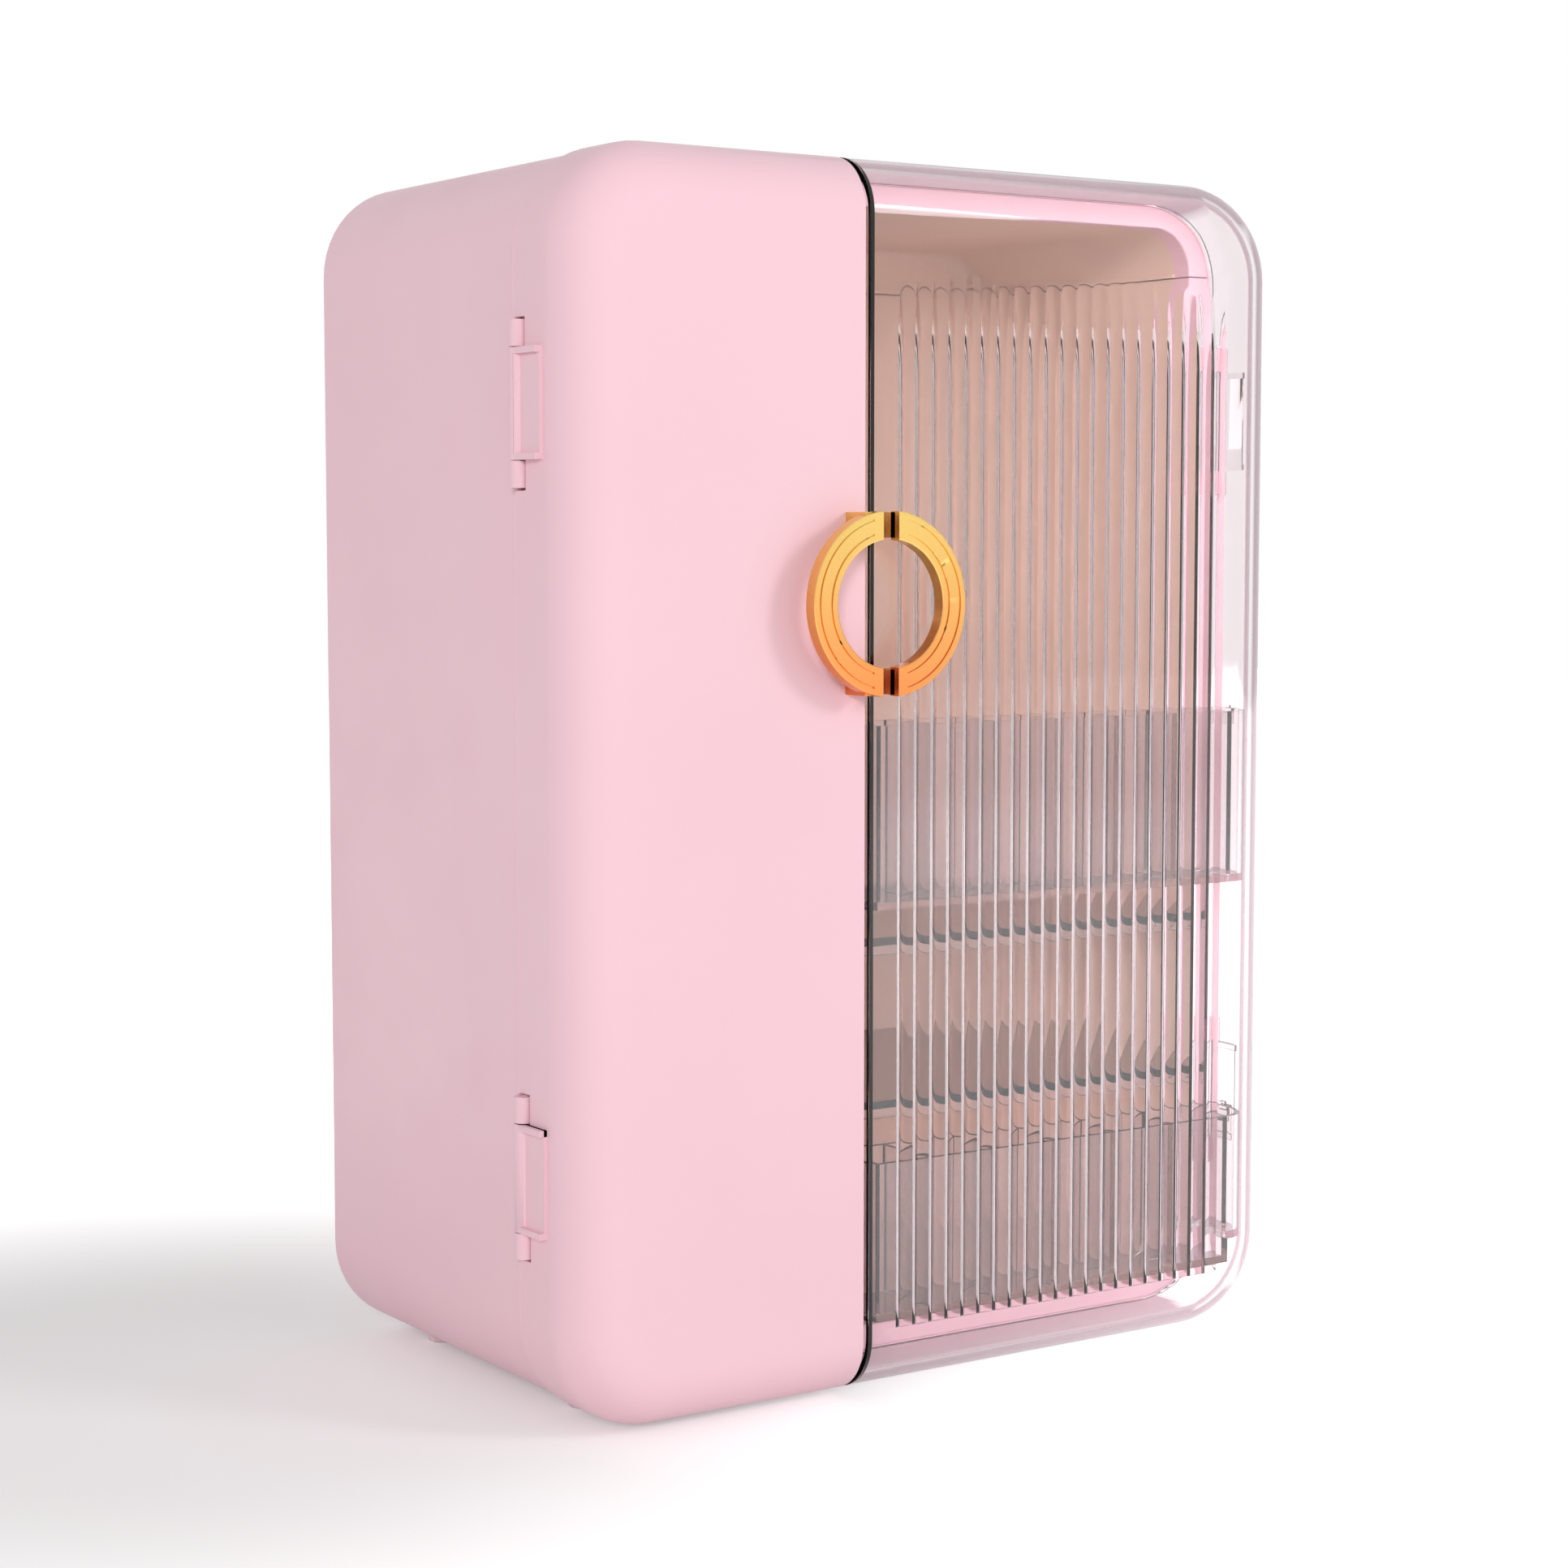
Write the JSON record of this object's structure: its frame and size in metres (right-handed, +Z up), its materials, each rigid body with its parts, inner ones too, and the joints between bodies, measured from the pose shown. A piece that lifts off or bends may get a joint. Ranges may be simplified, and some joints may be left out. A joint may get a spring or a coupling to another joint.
{
  "type": "cosmetics cabinet with hinged doors",
  "caption": "Rounded pink cosmetics cabinet with a narrow solid door, a wide fluted clear door, a split ring pull, door trays and inner shelves.",
  "frame": {"origin": "on the floor, under the middle of the closed cabinet's overall box", "axes": "+Z up, the doors face -Y, +X to the right seen from the front"},
  "size_m": [0.2926, 0.187, 0.4045],
  "materials": {
    "pink_shell": "gloss",
    "pink_inside": "satin",
    "clear_door": "clear gloss",
    "clear_tray": "clear gloss",
    "black_strip": "matte",
    "gold_pull": "polished",
    "steel_small": "satin",
    "foot_rubber": "matte"
  },
  "bodies": {
    "cabinet": {"cabinet_shell": "pink_shell", "front_frame": "pink_shell", "front_frame_top": "pink_shell", "inner_liner": "pink_inside", "ceiling_liner": "pink_inside", "back_panel": "pink_inside", "back_panel_screws": "steel_small", "rubber_feet": "foot_rubber", "shelf_pegs": "clear_tray", "leaf_screws": "steel_small", "catch_magnets": "steel_small", "mid_shelf": "clear_tray", "lower_shelf": "clear_tray", "left_hinge_leaves": "pink_shell", "right_hinge_leaves": "pink_shell", "left_hinge_pins": "steel_small", "right_hinge_pins": "steel_small"},
    "left_door": {"left_hinge_arms": "pink_shell", "left_door_shell": "pink_shell", "left_seam_strip": "black_strip", "left_pull": "gold_pull", "left_pull_screws": "steel_small", "left_tray_ledges": "pink_shell"},
    "right_door": {"right_hinge_arms": "clear_door", "right_door_shell": "clear_door", "right_door_pane": "clear_door", "right_seam_strip": "black_strip", "right_pull": "gold_pull", "right_pull_screws": "steel_small", "right_tray_ledges": "clear_door"},
    "left_upper_tray_body": {"left_upper_tray": "clear_tray"},
    "left_lower_tray_body": {"left_lower_tray": "clear_tray"},
    "right_upper_tray_body": {"right_upper_tray": "clear_tray"},
    "right_lower_tray_body": {"right_lower_tray": "clear_tray"}
  },
  "joints": [
    {"name": "left_door_hinge", "type": "hinge", "parent": "cabinet", "child": "left_door", "pos_m": [-0.1432, -0.0469, 0.2], "axis": [0, 0, -1], "range_deg": [0, 135]},
    {"name": "right_door_hinge", "type": "hinge", "parent": "cabinet", "child": "right_door", "pos_m": [0.1432, -0.0469, 0.2], "axis": [0, 0, 1], "range_deg": [0, 135]},
    {"name": "left_upper_tray_lift", "type": "slide", "parent": "left_door", "child": "left_upper_tray_body", "axis": [0, 0, 1], "range_m": [0, 0.01]},
    {"name": "left_lower_tray_lift", "type": "slide", "parent": "left_door", "child": "left_lower_tray_body", "axis": [0, 0, 1], "range_m": [0, 0.01]},
    {"name": "right_upper_tray_lift", "type": "slide", "parent": "right_door", "child": "right_upper_tray_body", "axis": [0, 0, 1], "range_m": [0, 0.01]},
    {"name": "right_lower_tray_lift", "type": "slide", "parent": "right_door", "child": "right_lower_tray_body", "axis": [0, 0, 1], "range_m": [0, 0.01]}
  ]
}
